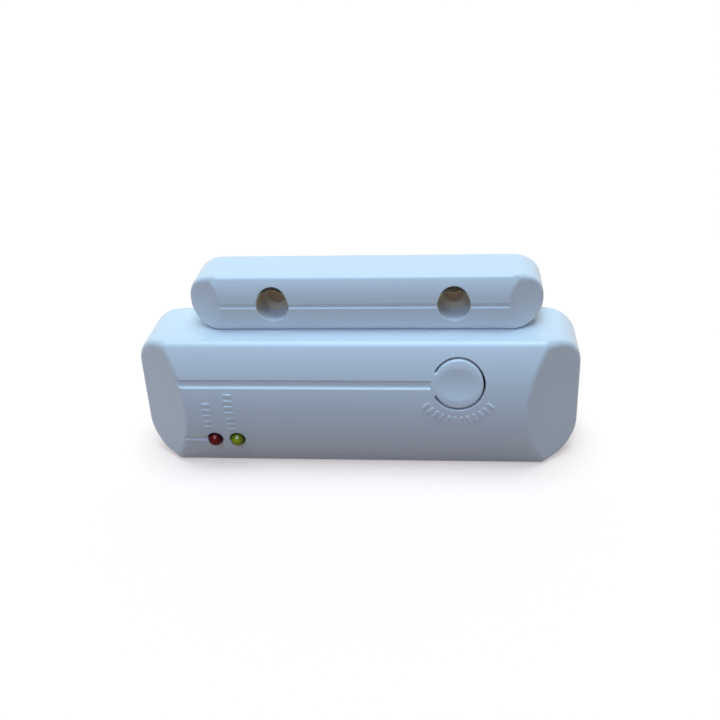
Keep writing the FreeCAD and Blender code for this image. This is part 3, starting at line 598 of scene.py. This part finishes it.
def recess_walls(shell, opening, outer_loop, inner_loop):
    """Takes a screw recess from the outer sheet down to its floor and through the screw's hole."""
    start = [(shell.points[index][0], shell.points[index][2]) for index in outer_loop]
    edge = [(place, out) for place, out, share in opening.outline(start)]
    # the recess cuts the arch at a slant, so its mouth is flared above and below: flat above, round below
    lips = [opening.lip + RECESS_FLARE * out.y ** 2 for place, out in edge]
    before = shell.ring_down(outer_loop, [place + out * lip for (place, out), lip in zip(edge, lips)])
    first_face = len(shell.faces)
    for number in range(1, RECESS_LIP_STEPS + 1):
        share = number / RECESS_LIP_STEPS
        turn = math.pi / 2 * share
        places = []
        for (place, out), lip in zip(edge, lips):
            flat = max(out.y, 0.0)
            across = 1 - math.sin(turn) * (1 - flat) - share * flat
            down = (1 - math.cos(turn)) * (1 - flat) + share * flat / 2
            x, z = place + out * lip * across
            places.append((x, shell.outer_y(x, z) + lip * down, z))
        before = shell.ring_at(before, places)
    # only the upper part of the mouth gets the painted shadow
    upper = [number for number, (place, out) in enumerate(edge) if out.y > 0.3]
    for step in range(RECESS_LIP_STEPS):
        shell.in_recess += [first_face + step * len(edge) + number for number in upper]
    first_face = len(shell.faces)
    # each ring's radius and depth: the wall with its round foot, the floor, the hole and the boss behind
    foot = 0.35
    hole_edge = 0.15
    profile = [(RECESS_RADIUS, y) for y in (-9.0, -7.5, RECESS_FLOOR_Y - foot)]
    for number in range(1, 4):
        turn = math.pi / 2 * number / 3
        profile.append((RECESS_RADIUS - foot * (1 - math.cos(turn)),
                        RECESS_FLOOR_Y - foot * (1 - math.sin(turn))))
    profile += [(2.4, RECESS_FLOOR_Y), (SCREW_HOLE_RADIUS + hole_edge, RECESS_FLOOR_Y),
                (SCREW_HOLE_RADIUS, RECESS_FLOOR_Y + hole_edge), (SCREW_HOLE_RADIUS, -4.0),
                (SCREW_HOLE_RADIUS, BOSS_END_Y), (BOSS_RADIUS, BOSS_END_Y), (BOSS_RADIUS, -5.0)]
    centre = Vector((opening.x, opening.z))
    for radius, y in profile:
        spots = [centre + out * radius for place, out in edge]
        before = shell.ring_at(before, [(spot.x, y, spot.y) for spot in spots])
    # the recess's walls, floor and hole take the material with the painted shade
    shell.in_recess += range(first_face, len(shell.faces))
    spots = [centre + out * BOSS_RADIUS for place, out in edge]
    wall = shell.casing.wall
    before = shell.ring_at(before, [(spot.x, shell.casing.front_y(spot.y, wall), spot.y) for spot in spots])
    shell.band(before, inner_loop)


def button_outline():
    """The points of the button's edge, their outward directions and how much of the rim they have."""
    centre = Vector((BUTTON_X, LINE_HEIGHT))
    turn_end = math.pi - math.asin(TONGUE_HALF / BUTTON_RADIUS)
    outline = []
    for turn in between(-turn_end, turn_end, turn_end / 52):
        out = Vector((math.cos(turn), math.sin(turn)))
        outline.append((centre + out * BUTTON_RADIUS, out, 1.0))
    for z in between(TONGUE_HALF, -TONGUE_HALF, 0.4):
        outline.append((Vector((HINGE_X, LINE_HEIGHT + z)), Vector((-1.0, 0.0)), 0.0))
    return outline


def test_button():
    """The dished button on its tongue, with the stem behind it."""
    shell = ShellMesh(SWITCH, [], [0.0], [], [])
    centre = Vector((BUTTON_X, LINE_HEIGHT))
    # the dish is part of a ball whose middle lies straight out from the arch at the button
    angle = math.asin(LINE_HEIGHT / SWITCH.arch_radius)
    ball = (DISH_RADIUS ** 2 + DISH_DEPTH ** 2) / (2 * DISH_DEPTH)
    reach = ball - DISH_DEPTH
    ball_y = SWITCH.front_y(LINE_HEIGHT) - math.cos(angle) * reach
    ball_z = LINE_HEIGHT + math.sin(angle) * reach

    def face_y(x, z):
        """The deeper of the arch and the dish, with a soft change from one to the other."""
        arch = SWITCH.front_y(z)
        across = (x - BUTTON_X) ** 2 + (z - ball_z) ** 2
        gap = ball_y + math.sqrt(max(ball ** 2 - across, 0.0)) - arch
        return arch + (gap + math.sqrt(gap ** 2 + DISH_SOFT ** 2)) / 2

    outline = button_outline()
    directions = [(place - centre).normalized() for place, out, share in outline]

    def circle(radius, depth):
        """Places round the middle, each as deep as a function says."""
        spots = [centre + direction * radius for direction in directions]
        return [(spot.x, depth(spot.x, spot.y), spot.y) for spot in spots]

    middle = shell.point(BUTTON_X, face_y(*centre), LINE_HEIGHT)
    first, *others = between(0.3, 4.35, 0.3)
    before = [shell.point(*place) for place in circle(first, face_y)]
    shell.cap(middle, before)
    for radius in others:
        before = shell.ring_at(before, circle(radius, face_y))
    for number in range(RIM_STEPS + 1):
        turn = math.pi / 2 * number / RIM_STEPS
        places = []
        for place, out, share in outline:
            x, z = place - out * BUTTON_RIM * share * (1 - math.sin(turn))
            places.append((x, face_y(x, z) + BUTTON_RIM * share * (1 - math.cos(turn)), z))
        before = shell.ring_at(before, places)
    places = []
    for place, out, share in outline:
        thickness = SWITCH.wall if share > 0 else TONGUE_THICKNESS
        places.append((place.x, SWITCH.front_y(place.y, thickness), place.y))
    before = shell.ring_at(before, places)
    for radius in (3.2, STEM_RADIUS):
        before = shell.ring_at(before, circle(radius, lambda x, z: SWITCH.front_y(z, SWITCH.wall)))
    tip_edge = 0.15
    for radius, y in ((STEM_RADIUS, STEM_TIP_Y - tip_edge), (STEM_RADIUS - tip_edge, STEM_TIP_Y)):
        spots = [centre + direction * radius for direction in directions]
        before = shell.ring_at(before, [(spot.x, y, spot.y) for spot in spots])
    shell.cap(shell.point(BUTTON_X, STEM_TIP_Y, LINE_HEIGHT), before)
    return shell.finished("test_button_disc")


def linear(hex_colour):
    """A colour written as sRGB hex, in the linear values that the shader takes."""
    channels = []
    for start in (0, 2, 4):
        value = int(hex_colour[start:start + 2], 16) / 255
        channels.append(value / 12.92 if value <= 0.04045 else ((value + 0.055) / 1.055) ** 2.4)
    return (*channels, 1.0)


def add(tree, kind, inputs=(), **settings):
    """Adds a node. Each input is a socket's name or number with a value or another node's output."""
    made = tree.nodes.new(kind)
    for name, value in settings.items():
        setattr(made, name, value)
    for socket, value in inputs:
        if isinstance(value, bpy.types.NodeSocket):
            tree.links.new(value, made.inputs[socket])
        else:
            made.inputs[socket].default_value = value
    return made


def maths(tree, operation, *values):
    """The result of a maths node with these inputs."""
    return add(tree, "ShaderNodeMath", enumerate(values), operation=operation).outputs[0]


def vector_maths(tree, operation, *values):
    """The same for vectors."""
    return add(tree, "ShaderNodeVectorMath", enumerate(values), operation=operation).outputs[0]


def length(tree, vector):
    """A vector's length."""
    return add(tree, "ShaderNodeVectorMath", [(0, vector)], operation="LENGTH").outputs["Value"]


def ramp(tree, value, start, end):
    """A share that goes from 0 to 1 between two places or lengths in millimetres."""
    return add(tree, "ShaderNodeMapRange", [("Value", value), ("From Min", start * MM),
                                            ("From Max", end * MM)]).outputs[0]


def scaled(tree, share, low, high):
    """A value that goes from low to high as a share goes from 0 to 1."""
    return add(tree, "ShaderNodeMapRange", [("Value", share), ("To Min", low), ("To Max", high)]).outputs[0]


def blend(tree, share, first, second):
    """A colour between two colours."""
    return add(tree, "ShaderNodeMix", [(0, share), (6, first), (7, second)], data_type="RGBA").outputs[2]


def noise(tree, place, grain, detail):
    """A cloudy share with a grain in millimetres."""
    return add(tree, "ShaderNodeTexNoise", [("Vector", place), ("Scale", 1 / (grain * MM)),
                                            ("Detail", detail)]).outputs[0]


def bump(tree, height, depth, below=None):
    """Relief with a depth in millimetres, laid over the relief below it, if any."""
    made = add(tree, "ShaderNodeBump", [("Height", height), ("Strength", 1.0), ("Distance", depth * MM)])
    if below:
        tree.links.new(below, made.inputs["Normal"])
    return made.outputs[0]


def material(name):
    """An empty material with its object coordinates."""
    made = bpy.data.materials.new(name)
    made.use_nodes = True
    tree = made.node_tree
    tree.nodes.clear()
    place = add(tree, "ShaderNodeTexCoord").outputs["Object"]
    return made, tree, place


def shaded(tree, inputs):
    """Ends a material with its shader."""
    shader = add(tree, "ShaderNodeBsdfPrincipled", inputs)
    add(tree, "ShaderNodeOutputMaterial", [("Surface", shader.outputs[0])])


def pin_marks(tree, place):
    """Shallow round dents, in rows, where a mould's pins pushed a plate out."""
    step = Vector((PIN_STEP_X, 1.0, PIN_STEP_Z)) * MM
    inside = vector_maths(tree, "FRACTION", vector_maths(tree, "DIVIDE", place, step))
    middle = vector_maths(tree, "SUBTRACT", inside, (0.5, 0.5, 0.5))
    away = vector_maths(tree, "MULTIPLY", middle, (step.x, 0.0, step.z))
    return bump(tree, ramp(tree, length(tree, away), PIN_RADIUS - 0.1, PIN_RADIUS), 0.05)


def from_axis(tree, place, x, z):
    """The flat vector from an axis along Y, at a place in millimetres."""
    away = vector_maths(tree, "SUBTRACT", place, Vector((x, 0.0, z)) * MM)
    return vector_maths(tree, "MULTIPLY", away, (1.0, 0.0, 1.0))


def hole_share(tree, place):
    """A share that is 1 in the magnet unit's two screw holes, which mirror each other, and 0 round them."""
    right = vector_maths(tree, "ABSOLUTE", from_axis(tree, place, MAGNET_UNIT.x, MAGNET_UNIT.z))
    radius = length(tree, from_axis(tree, right, SCREW_SPACING / 2, 0.0))
    return ramp(tree, radius, SCREW_HOLE_RADIUS + 0.1, SCREW_HOLE_RADIUS + 0.02)


def dulled(tree, share, gloss):
    """A roughness that rises to almost dull as a share rises to 1."""
    return add(tree, "ShaderNodeMix", [(0, share), (2, gloss), (3, 0.95)]).outputs[0]


# painted shade in the screw recesses: a warm tan where they lie in shade, a dark brown for the shadow along
# their top
RECESS_SHADE_TAN = linear("edd9bd")
RECESS_SHADOW_BROWN = linear("4c4030")
# painted shade inside the magnet unit's plate's screw holes
PLATE_HOLE_SHADE = linear("6c5c46")
DUST = linear("8d8578")


def recess_painted_shade(tree, place, colour, gloss):
    """Painted shade in the screw recesses: a warm tan where they lie in shade, with a duller gloss, the lit
    lower wall left white, and a painted dark brown shadow along the top.
    """
    parts = add(tree, "ShaderNodeSeparateXYZ", [(0, place)]).outputs
    high = ramp(tree, parts["Z"], MAGNET_UNIT.z - 1.9, MAGNET_UNIT.z - 0.6)
    deep_shade = ramp(tree, parts["Y"], RECESS_FLOOR_Y - 0.6, RECESS_FLOOR_Y - 0.1)
    shade_share = maths(tree, "MAXIMUM", high, deep_shade)
    shadow_share = ramp(tree, parts["Z"], MAGNET_UNIT.z + 1.9, MAGNET_UNIT.z + 2.9)
    tone = blend(tree, shade_share, colour, RECESS_SHADE_TAN)
    return blend(tree, shadow_share, tone, RECESS_SHADOW_BROWN), dulled(tree, shade_share, gloss)


def hole_painted_shade(tree, place, colour, gloss):
    """Painted shade: the magnet unit's plate is darker and duller inside its two screw holes."""
    share = hole_share(tree, place)
    return blend(tree, share, colour, PLATE_HOLE_SHADE), dulled(tree, share, gloss)


# Where the painted highlight sits on a lamp's lens, across and up from the lamp's axis
PAINTED_HIGHLIGHT_PLACE = (0.12, 0.92)


def lens_painted_shade_and_highlight(lamp_x, rim, light):
    """Painted shade darkens a cast lens towards its rim, and a painted highlight lies over the cup under
    it.
    """
    def overlay(tree, place, colour, gloss):
        away = from_axis(tree, place, lamp_x, LAMP_HEIGHT)
        deep_shade = blend(tree, ramp(tree, length(tree, away), 0.5, 1.5), colour, linear(rim))
        near = length(tree, from_axis(tree, away, *PAINTED_HIGHLIGHT_PLACE))
        return blend(tree, ramp(tree, near, 0.36, 0.1), deep_shade, linear(light)), gloss
    return overlay


def surface(name, colour, roughness, metallic=0.0, grain=0.25, depth=0.01, spread=0.12, tint=0.08,
            transmission=0.0, specular=0.5, pins=False, overlay=None):
    """A material with fine relief, patches of gloss and a slight change of tone.

    The relief's grain and depth are in millimetres. An overlay changes the colour and the gloss.
    """
    made, tree, place = material(name)
    patches = noise(tree, place, 6, 5.0)
    gloss = scaled(tree, patches, roughness - spread, roughness + spread)
    base = linear(colour)[:3]
    dark = tuple(channel * (1 - tint) for channel in base) + (1.0,)
    light = tuple(min(channel * (1 + tint), 1.0) for channel in base) + (1.0,)
    tone = blend(tree, patches, dark, light)
    if overlay:
        tone, gloss = overlay(tree, place, tone, gloss)
    below = pin_marks(tree, place) if pins else None
    relief = bump(tree, noise(tree, place, grain, 3.0), depth, below)
    shaded(tree, [("Base Color", tone), ("Roughness", gloss), ("Normal", relief), ("Metallic", metallic),
                  ("Transmission Weight", transmission), ("Specular IOR Level", specular)])
    return made


def polished_white(name, overlay=None):
    """White ABS from a polished mould: bright and smooth, with a faint orange peel in its gloss.

    Fingers leave slow clouds in the gloss and a little dust.
    """
    made, tree, place = material(name)
    clouds = noise(tree, place, 22, 6.0)
    gloss = scaled(tree, clouds, 0.25, 0.33)
    tone = blend(tree, clouds, linear("e8ebed"), linear("eaedef"))
    # specks of dust, 0.1 mm wide, in about one cell of 1.8 mm in five
    cells = add(tree, "ShaderNodeTexVoronoi", [("Vector", place), ("Scale", 1 / (1.8 * MM))]).outputs
    speck = add(tree, "ShaderNodeMapRange", [("Value", cells["Distance"]), ("From Min", 0.02),
                                             ("From Max", 0.05), ("To Min", 0.5), ("To Max", 0.0)])
    drawn = add(tree, "ShaderNodeSeparateColor", [(0, cells["Color"])]).outputs[0]
    dust = maths(tree, "MULTIPLY", speck.outputs[0], maths(tree, "GREATER_THAN", drawn, 0.8))
    colour = blend(tree, dust, tone, DUST)
    if overlay:
        colour, gloss = overlay(tree, place, colour, gloss)
    skin = bump(tree, noise(tree, place, 0.12, 2.0), 0.0006)
    relief = bump(tree, noise(tree, place, 1.3, 2.0), 0.0015, skin)
    shaded(tree, [("Base Color", colour), ("Roughness", gloss), ("Normal", relief), ("IOR", 1.53)])
    return made


# Each is named for the real stuff and how its surface was made, and for the shade painted on it, if any
WHITE = polished_white("polished_white_abs")
# the same white, with painted shade in the screw recesses
WHITE_WITH_PAINTED_SHADE = polished_white("polished_white_abs_painted_shade", overlay=recess_painted_shade)
# spark-eroded mould: a dull, evenly pitted white
MATTE = {"roughness": 0.5, "grain": 0.17, "depth": 0.02, "tint": 0.02, "pins": True}
MATTE_WHITE = surface("spark_eroded_white_abs", "e2e4e4", **MATTE)
# the same white, with painted shade inside the plate's screw holes
MATTE_WHITE_PAINTED_SHADE = surface("spark_eroded_white_abs_painted_shade", "e2e4e4", overlay=hole_painted_shade, **MATTE)
# lacquer over copper and glass cloth: green, half gloss
BOARD_GREEN = surface("solder_mask", "1c5a34", 0.35, grain=0.4)
# hot-dipped tin: bright, slightly clouded
TINNED = surface("tinned_metal", "c9ccce", 0.3, metallic=1.0, grain=0.33)
# glass-filled black moulding: dull with a fine pit
BLACK = surface("black_moulding", "18191b", 0.45, grain=0.13)
# drawn glass tube: clear, with the faint green of its edge
GLASS = surface("clear_glass", "f4fbf8", 0.03, grain=3.3, depth=0.001, spread=0.02, transmission=1.0)
# plain shrink sleeve: dark, smooth and half gloss
JACKET = surface("battery_jacket", "3b3f46", 0.3, grain=0.67)
# drawn nickel silver: satin, with a soft shine
CAN = surface("drawn_can", "b9bcbf", 0.32, metallic=1.0, grain=0.4)
# fired ceramic with a glass coat: almost black
RESISTOR = surface("fired_ceramic", "20242a", 0.4, grain=0.2)
# nickel plate on a sintered magnet: bright and a little warm
MAGNET = surface("nickel_plate", "b8b4aa", 0.25, metallic=1.0, grain=0.4)
# cast epoxy lenses: deep clear colour under a glossy skin
LENS = {"roughness": 0.06, "grain": 1.4, "depth": 0.001, "spread": 0.03, "specular": 0.06}
# each lens: painted shade towards its rim, then a painted highlight
RED_EPOXY = surface("cast_red_epoxy", "8c0a14", overlay=lens_painted_shade_and_highlight(RED_LAMP_X, "38040a", "d88078"), **LENS)
GREEN_EPOXY = surface("cast_green_epoxy", "aeb41c", overlay=lens_painted_shade_and_highlight(GREEN_LAMP_X, "3c3c06", "e8e8b0"),
                      **LENS)

CARRIED = {
    "switch_base": MATTE_WHITE,
    "magnet_base": MATTE_WHITE_PAINTED_SHADE,
    "red_led": RED_EPOXY,
    "green_led": GREEN_EPOXY,
    "led_leads": TINNED,
    "circuit_board": BOARD_GREEN,
    "button_switch_body": BLACK,
    "button_switch_plunger": BLACK,
    "reed_glass": GLASS,
    "reed_blades": TINNED,
    "battery": JACKET,
    "battery_plate_contact": TINNED,
    "battery_spring_contact": TINNED,
    "encoder_chip": BLACK,
    "resonator_can": CAN,
    "capacitor": CAN,
    "antenna_loop": TINNED,
    "resistors": RESISTOR,
    "bar_magnet": MAGNET,
}
for name, finish in CARRIED.items():
    NODES[name].data.materials.clear()
    NODES[name].data.materials.append(finish)

for make, body, node, finishes in (
        (switch_cover, "housing", "switch_cover", (WHITE,)),
        (magnet_cover, "housing", "magnet_cover", (WHITE, WHITE_WITH_PAINTED_SHADE)),
        (test_button, "button", "test_button", (WHITE,))):
    piece = make()
    for finish in finishes:
        piece.data.materials.append(finish)
    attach(piece, body)
    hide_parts(node)


def rib_tree():
    """A tree that lays ribs across a path, at an even pitch, on the switch unit's arched front."""
    tree = bpy.data.node_groups.new("raised_ribs", "GeometryNodeTree")
    names = {}
    for name, kind in (("Path", "Geometry"), ("Pitch", "Float"), ("Rib Size", "Vector"),
                       ("Arch Radius", "Float"), ("Arch Axis", "Float"), ("Finish", "Material")):
        made = tree.interface.new_socket(name, in_out="INPUT", socket_type="NodeSocket" + kind)
        names[name] = made.identifier
    tree.interface.new_socket("Ribs", in_out="OUTPUT", socket_type="NodeSocketGeometry")
    given = add(tree, "NodeGroupInput").outputs
    line = add(tree, "GeometryNodeMeshToCurve", [("Mesh", given["Path"])])
    even = add(tree, "GeometryNodeResampleCurve", [("Curve", line.outputs[0]),
                                                   ("Length", given["Pitch"])], mode="LENGTH")
    along = add(tree, "GeometryNodeInputTangent")
    turn = add(tree, "FunctionNodeAlignRotationToVector", [("Vector", along.outputs[0])], axis="X",
               pivot_axis="Y")
    block = add(tree, "GeometryNodeMeshCube", [("Size", given["Rib Size"])])
    soft = add(tree, "GeometryNodeSubdivisionSurface", [("Mesh", block.outputs[0]), ("Level", 3),
                                                        ("Edge Crease", 0.45)])
    ribs = add(tree, "GeometryNodeInstanceOnPoints", [("Points", even.outputs[0]),
                                                      ("Instance", soft.outputs[0]),
                                                      ("Rotation", turn.outputs[0])])
    real = add(tree, "GeometryNodeRealizeInstances", [(0, ribs.outputs[0])])
    # a point on the arch is as deep as its axis, less the root of radius squared less height squared
    rise = add(tree, "ShaderNodeSeparateXYZ", [(0, add(tree, "GeometryNodeInputPosition").outputs[0])])
    squares = [maths(tree, "POWER", value, 2.0) for value in (given["Arch Radius"], rise.outputs["Z"])]
    reach = maths(tree, "SQRT", maths(tree, "SUBTRACT", *squares))
    shift = add(tree, "ShaderNodeCombineXYZ", [("Y", maths(tree, "SUBTRACT", given["Arch Axis"], reach))])
    laid = add(tree, "GeometryNodeSetPosition", [("Geometry", real.outputs[0]),
                                                 ("Offset", shift.outputs[0])])
    smooth = add(tree, "GeometryNodeSetShadeSmooth", [("Geometry", laid.outputs[0])])
    dressed = add(tree, "GeometryNodeSetMaterial", [("Geometry", smooth.outputs[0]),
                                                    ("Material", given["Finish"])])
    add(tree, "NodeGroupOutput", [(0, dressed.outputs[0])])
    return tree, names


def ribs_along(name, tree, names, places):
    """Ribs along points in millimetres, as a plain mesh in one piece."""
    path = bpy.data.meshes.new(name + "_path")
    edges = [(number, number + 1) for number in range(len(places) - 1)]
    path.from_pydata([(x * MM, 0.0, z * MM) for x, z in places], edges, [])
    drawn = linked(name + "_path", path)
    ribs = drawn.modifiers.new("Ribs", "NODES")
    ribs.node_group = tree
    ribs[names["Pitch"]] = RIB_PITCH * MM
    ribs[names["Rib Size"]] = RIB * MM
    ribs[names["Arch Radius"]] = SWITCH.arch_radius * MM
    ribs[names["Arch Axis"]] = SWITCH.axis_y * MM
    ribs[names["Finish"]] = WHITE
    made = linked(name, plain_mesh(drawn))
    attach(made, "housing")


def raised_ribs():
    """The three groups of ribs."""
    tree, names = rib_tree()
    arc = []
    for degrees in between(*RIB_ARC, 4):
        turn = math.radians(degrees)
        arc.append((BUTTON_X + RIB_ARC_RADIUS * math.cos(turn),
                    LINE_HEIGHT + RIB_ARC_RADIUS * math.sin(turn)))
    ribs_along("button_ribs", tree, names, arc)
    for name, lamp_x, column in (("red_lamp_ribs", RED_LAMP_X, RED_COLUMN),
                                 ("green_lamp_ribs", GREEN_LAMP_X, GREEN_COLUMN)):
        ribs_along(name, tree, names, [(lamp_x + RIB_COLUMN_SHIFT, rise) for rise in column])


raised_ribs()

# The stage: a pale floor under the lower wall, which is white to the camera and keeps the shadow
FLOOR_Z = -SWITCH.half_height
FLOOR_HALF = 3000.0


def looked_at(tree):
    """1 where a thing is seen, also in a mirror or through glass, and 0 where it only gives light."""
    path = add(tree, "ShaderNodeLightPath").outputs
    seen = maths(tree, "MAXIMUM", path["Is Camera Ray"], path["Is Glossy Ray"])
    return maths(tree, "MAXIMUM", seen, path["Is Transmission Ray"])


def mixed(tree, lights, shows):
    """One shader where a thing only gives light, and another where it is seen."""
    return add(tree, "ShaderNodeMixShader", [(0, looked_at(tree)), (1, lights.outputs[0]),
                                             (2, shows.outputs[0])]).outputs[0]


def stage_floor():
    """A wide sheet of paper."""
    mesh = bpy.data.meshes.new("floor")
    corners = [(-FLOOR_HALF, -FLOOR_HALF), (FLOOR_HALF, -FLOOR_HALF), (FLOOR_HALF, FLOOR_HALF),
               (-FLOOR_HALF, FLOOR_HALF)]
    mesh.from_pydata([(x * MM, y * MM, FLOOR_Z * MM) for x, y in corners], [], [(0, 1, 2, 3)])
    made, tree, place = material("studio_floor")
    shadowed = add(tree, "ShaderNodeBsdfDiffuse", [("Color", linear("f9d8c5"))])
    glow = add(tree, "ShaderNodeEmission", [("Color", (1.0, 1.0, 1.0, 1.0)), ("Strength", 0.38)])
    paper = add(tree, "ShaderNodeAddShader", [(0, shadowed.outputs[0]), (1, glow.outputs[0])])
    bounce = add(tree, "ShaderNodeBsdfDiffuse", [("Color", linear("9c8270"))])
    add(tree, "ShaderNodeOutputMaterial", [("Surface", mixed(tree, bounce, paper))])
    mesh.materials.append(made)
    linked("floor", mesh)


def world():
    """Soft light from behind the units, dim from before them, and white where it is seen."""
    made = bpy.data.worlds.new("studio")
    bpy.context.scene.world = made
    made.use_nodes = True
    tree = made.node_tree
    tree.nodes.clear()
    way = add(tree, "ShaderNodeSeparateXYZ", [(0, add(tree, "ShaderNodeTexCoord").outputs["Generated"])])
    level = scaled(tree, way.outputs["Y"], 0.06, 0.8)
    room = add(tree, "ShaderNodeBackground", [("Color", linear("dce6f4")), ("Strength", level)])
    white = add(tree, "ShaderNodeBackground", [("Color", (1.0, 1.0, 1.0, 1.0)), ("Strength", 1.0)])
    add(tree, "ShaderNodeOutputWorld", [("Surface", mixed(tree, room, white))])


def sun(name, direction, strength, colour, softness):
    """A lamp as far off as the sun, so that the whole floor gets the same light."""
    lamp = bpy.data.lights.new(name, "SUN")
    lamp.energy = strength
    lamp.color = linear(colour)[:3]
    lamp.angle = math.radians(softness)
    made = linked(name, lamp)
    made.rotation_mode = "QUATERNION"
    made.rotation_quaternion = Vector(direction).to_track_quat("-Z", "Y")


stage_floor()
world()
sun("key", (0.0, 0.0, -1.0), 2.25, "c8ecff", 42.0)
sun("fill", (0.1, 0.7, -0.7), 0.85, "a8caff", 30.0)
sun("window", (0.1, 0.5, -0.86), 0.2, "a8caff", 4.0)

# The camera stands where the photograph was taken from
camera_data = bpy.data.cameras.new("photo_camera")
camera_data.lens = 47.83
camera_data.sensor_width = 36.0
camera_data.clip_start = 0.01
camera_data.clip_end = 20.0
camera = linked("photo_camera", camera_data)
CAMERA_PLACE = Vector((20.05, -176.54, 97.37)) * MM
RIGHT = Vector((0.99489, 0.08962, -0.04650))
UP = Vector((-0.00199, 0.47789, 0.87842))
FORWARD = Vector((-0.10095, 0.87384, -0.47562))
facing = Matrix((RIGHT, UP, -FORWARD)).transposed()
camera.matrix_world = Matrix.Translation(CAMERA_PLACE) @ facing.to_4x4()
bpy.context.scene.camera = camera
bpy.context.scene.view_settings.view_transform = "Standard"
